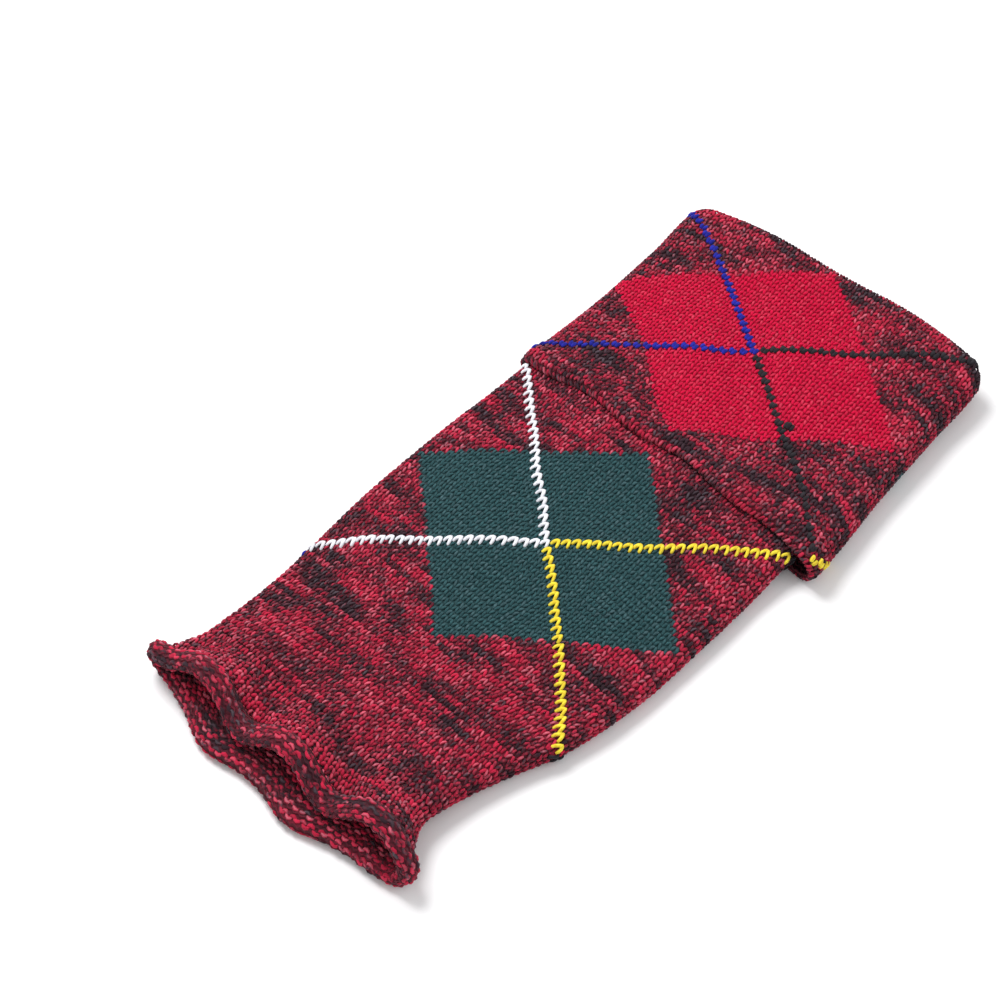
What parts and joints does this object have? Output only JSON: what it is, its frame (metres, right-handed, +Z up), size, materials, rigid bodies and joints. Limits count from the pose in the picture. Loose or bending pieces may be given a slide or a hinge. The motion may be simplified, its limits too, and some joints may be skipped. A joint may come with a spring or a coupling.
{
  "type": "knitted hose top",
  "caption": "Knitted argyle tube for the calf with a turned-over cuff at the top and a frilled, rolled hem at the ankle, lying flat.",
  "frame": {"origin": "middle of the underside, on the surface that the hose top lies on", "axes": "+Y up the leg from the ankle to the cuff, +X across the leg, +Z up from the surface"},
  "size_m": [0.162, 0.337, 0.0262],
  "materials": {
    "marled_wool": "marled red and black wool in stocking stitch, matt with short fuzz",
    "cuff_wool": "red wool with a marled ground in stocking stitch, matt with short fuzz"
  },
  "bodies": {
    "root": {"leg": "marled_wool", "turnover_cuff": "cuff_wool", "ankle_frill": "marled_wool"}
  },
  "joints": []
}
